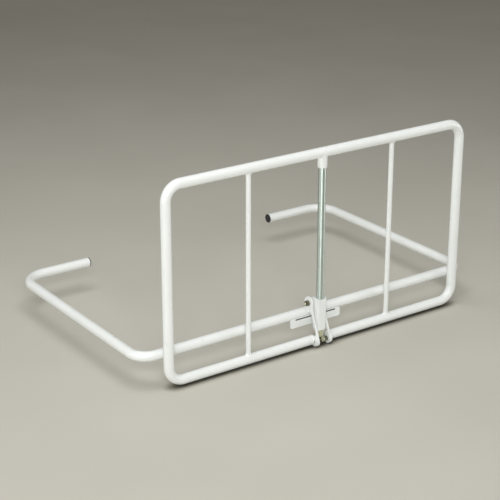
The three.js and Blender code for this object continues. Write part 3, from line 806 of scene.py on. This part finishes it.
def rod_collar():
    """The collar, chamfered below and coped to the top rail above, and its weld bead."""
    bore = ROD_RADIUS + SEAT_GAP
    profile = [
        (bore, COLLAR_BORE_CHAMFER),
        (bore + COLLAR_BORE_CHAMFER, 0),
        (SOCKET_RADIUS - COLLAR_CHAMFER, 0),
        (SOCKET_RADIUS, COLLAR_CHAMFER),
    ]
    rings = [ring_about("z", GUARD_MIDDLE, socket_low.z + rise, radius) for radius, rise in profile]
    for radius in (SOCKET_RADIUS, bore):
        ring = []
        for angle in circle_angles(ROUND_SIDES):
            y = radius * math.sin(angle)
            height = TOP_RAIL - math.sqrt(TUBE_RADIUS**2 - y**2)
            ring.append(Vector((radius * math.cos(angle), GUARD_PLANE + y, height)))
        rings.append(ring)
    place_piece("rod_collar", mesh_of("rod_collar", rings), ["rod_socket"])
    bead = saddle_weld("collar_bead", GUARD_MIDDLE, TOP_RAIL, -1, SOCKET_RADIUS, TUBE_RADIUS, SOCKET_WELD)
    place_piece("collar_bead", bead, ["rod_socket"], WELD_SMOOTH_ANGLE)


def chrome_rod():
    top = TOP_RAIL - TUBE_RADIUS - SEAT_GAP
    profile = sleeve_profile(rod_low.z, top, ROD_RADIUS - ROD_WALL, ROD_RADIUS, ROD_EDGE)
    place_piece("chrome_rod", turned("chrome_rod", profile, "z", GUARD_MIDDLE), ["slide_rod"])


def keeper_screw():
    """A hexagon screw from the right, with a plain shank under its head and a thread to its end."""
    seat = bolt_high.x - BOLT_HEAD
    plain_end = nut_high.x + PLAIN_SHANK
    rings = hexagon_rings(KEEPER_AXIS, seat, bolt_high.x, ACROSS_FLATS)[::-1]
    for along in (seat, plain_end):
        rings.append(ring_about("x", KEEPER_AXIS, along, SHANK_RADIUS, FASTENER_SIDES))
    rings += threaded_rings(KEEPER_AXIS, plain_end, bolt_low.x, SHANK_RADIUS)
    screw = mesh_of("keeper_screw", rings, capped=True)
    place_piece("keeper_screw", screw, ["keeper_bolt"], FASTENER_SMOOTH_ANGLE)


def lock_nut():
    """A locking nut on the left, whose collar holds a nylon ring round the screw."""
    bore = SHANK_RADIUS + SEAT_GAP
    shoulder = nut_low.x + NUT_COLLAR
    rings = hexagon_rings(KEEPER_AXIS, nut_high.x, shoulder, ACROSS_FLATS)
    for along, radius in (
        (shoulder, NUT_COLLAR_RADIUS),
        (nut_low.x + NUT_DOME, NUT_COLLAR_RADIUS),
        (nut_low.x + NUT_DOME_CORNER, NUT_COLLAR_RADIUS - NUT_DOME_CORNER),
        (nut_low.x, NUT_COLLAR_RADIUS - NUT_DOME),
        (nut_low.x, NYLON_RADIUS),
        (shoulder, NYLON_RADIUS),
        (shoulder, bore),
        (nut_high.x - EDGE, bore),
        (nut_high.x, bore + EDGE),
    ):
        rings.append(ring_about("x", KEEPER_AXIS, along, radius, FASTENER_SIDES))
    # The nut takes the darker zinc, painted shade
    place_piece("lock_nut", mesh_of("lock_nut", rings), ["keeper_nut"], FASTENER_SMOOTH_ANGLE, SHADED_ZINC)
    ring_low, ring_high = nut_low.x + NYLON_DEPTH, shoulder - NYLON_DEPTH
    inner, outer = SHANK_RADIUS + NYLON_DEPTH, NYLON_RADIUS - NYLON_DEPTH
    profile = sleeve_profile(ring_low, ring_high, inner, outer, EDGE / 2)
    add_piece("nylon_ring", turned("nylon_ring", profile, "x", KEEPER_AXIS), "base", "black_plastic")


def keeper_washers():
    bore = SHANK_RADIUS + SEAT_GAP
    for name in ("right", "left"):
        low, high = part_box(f"keeper_washer_{name}")
        profile = sleeve_profile(low.x, high.x, bore, (high.z - low.z) / 2, EDGE / 2)
        washer = turned(f"washer_{name}", profile, "x", KEEPER_AXIS)
        place_piece(f"washer_{name}", washer, [f"keeper_washer_{name}"])


def softened_nodes():
    """Plates, pressings and turned parts that keep their CAD shape, with rounded edges."""
    for node, width in EDGE_WIDTHS.items():
        mesh = softened_copy(node, width * MM)
        place_piece(node + "_dressed", mesh, [node], finish=SPECIAL_FINISHES.get(node))
    channel = softened_copy("catch_channel", CHANNEL_EDGE, press=round_channel_bends)
    place_piece("catch_channel_dressed", channel, ["catch_channel"])


def crown_tabs():
    """Tabs turned in from the catch's sides, which close its crown round the rod."""
    low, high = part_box("catch_channel")
    top = high.z - CROWN_TIP - TAB_DROP
    bottom = top - TAB_THICKNESS
    side = high.x - CHANNEL_WALL - SEAT_GAP
    front = low.y + CHANNEL_WALL + SEAT_GAP - GUARD_PLANE
    inner = ROD_RADIUS + TAB_CLEARANCE
    for name, sign in (("right", 1), ("left", -1)):
        rings = []
        for step in range(TAB_STEPS + 1):
            angle = TAB_START + (TAB_END - TAB_START) * step / TAB_STEPS
            c, s = math.cos(angle), math.sin(angle)
            outer = min(side / c, front / s if s < 0 else math.inf)
            ring = [(inner, bottom), (inner, top), (outer, top), (outer, bottom)]
            rings.append([Vector((sign * reach * c, GUARD_PLANE + reach * s, z)) for reach, z in ring])
        tab = mesh_of(f"crown_tab_{name}", rings, capped=True)
        add_piece(f"crown_tab_{name}", tab, "catch", "white_paint")


def slot_shade_sheet():
    """A black strip behind the wing plate's slot, between the plate and the tube: painted shade that makes
    the slot look dark.
    """
    low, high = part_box("wing_plate")
    middle = high.z - SLOT_DROP
    bottom, top = middle - SLOT_HEIGHT, middle + SLOT_HEIGHT / 2
    front = high.y + STRIP_GAP
    back = front + STRIP_THICKNESS
    half = (high.x - low.x) / 2 - STRIP_INSET
    corners = [(front, bottom), (front, top), (back, top), (back, bottom)]
    rings = [[Vector((x, y, z)) for y, z in corners] for x in (-half, half)]
    strip = bevelled(mesh_of("slot_shade_sheet", rings, capped=True), STRIP_GAP, STRIP_SEGMENTS)
    add_piece("slot_shade_sheet", strip, "base", "black_plastic")


# Studio

def floor():
    bpy.ops.mesh.primitive_plane_add(size=FLOOR_SIZE, location=FLOOR_PLACE)
    plane = bpy.context.object
    plane.name = "floor"
    plane.data.materials.append(floor_finish())


def lights():
    """Soft lamps that the camera doesn't see."""
    for name, (place, target, size, watts, spread) in LAMPS.items():
        data = bpy.data.lights.new(name, "AREA")
        data.shape = "RECTANGLE"
        data.size, data.size_y = size
        data.energy = watts
        data.spread = math.radians(spread)
        lamp = bpy.data.objects.new(name, data)
        bpy.context.scene.collection.objects.link(lamp)
        lamp.location = place
        lamp.rotation_euler = (Vector(target) - Vector(place)).to_track_quat("-Z", "Y").to_euler()
        lamp.visible_camera = False


def studio_walls():
    """Dim light from all round, and pale walls that the camera and reflections see."""
    world = bpy.data.worlds.new("studio")
    bpy.context.scene.world = world
    world.use_nodes = True
    nodes, links = world.node_tree.nodes, world.node_tree.links
    background = nodes["Background"]
    background.inputs["Color"].default_value = WALL_COLOUR
    path = nodes.new("ShaderNodeLightPath")
    seen = path.outputs["Is Camera Ray"]
    for kind in ("Is Glossy Ray", "Is Transmission Ray"):
        either = nodes.new("ShaderNodeMath")
        either.operation = "MAXIMUM"
        links.new(seen, either.inputs[0])
        links.new(path.outputs[kind], either.inputs[1])
        seen = either.outputs[0]
    strength = nodes.new("ShaderNodeMapRange")
    strength.inputs["To Min"].default_value = WALL_LIGHT
    strength.inputs["To Max"].default_value = WALL_TONE
    links.new(seen, strength.inputs["Value"])
    links.new(strength.outputs["Result"], background.inputs["Strength"])


def camera():
    data = bpy.data.cameras.new("photo_view")
    data.sensor_width = SENSOR_WIDTH
    data.lens = CAMERA_FOCAL_SHARE * SENSOR_WIDTH
    view = bpy.data.objects.new("photo_view", data)
    bpy.context.scene.collection.objects.link(view)
    level = math.cos(CAMERA_PITCH)
    ahead = Vector((math.sin(CAMERA_YAW) * level, math.cos(CAMERA_YAW) * level, -math.sin(CAMERA_PITCH)))
    right = Vector((math.cos(CAMERA_YAW), -math.sin(CAMERA_YAW), 0))
    up = right.cross(ahead)
    c, s = math.cos(CAMERA_ROLL), math.sin(CAMERA_ROLL)
    axes = Matrix((c * right + s * up, c * up - s * right, -ahead)).transposed()
    place = Vector((0, GUARD_PLANE, BOTTOM_RAIL)) + CAMERA_OFFSET
    view.matrix_world = Matrix.Translation(place) @ axes.to_4x4()
    bpy.context.scene.camera = view


camera()
guard_tube()
base_tube()
end_plugs()
upright_bars()
rod_collar()
chrome_rod()
keeper_screw()
lock_nut()
keeper_washers()
softened_nodes()
crown_tabs()
slot_shade_sheet()
floor()
lights()
studio_walls()
bpy.context.scene.view_settings.view_transform = "Standard"
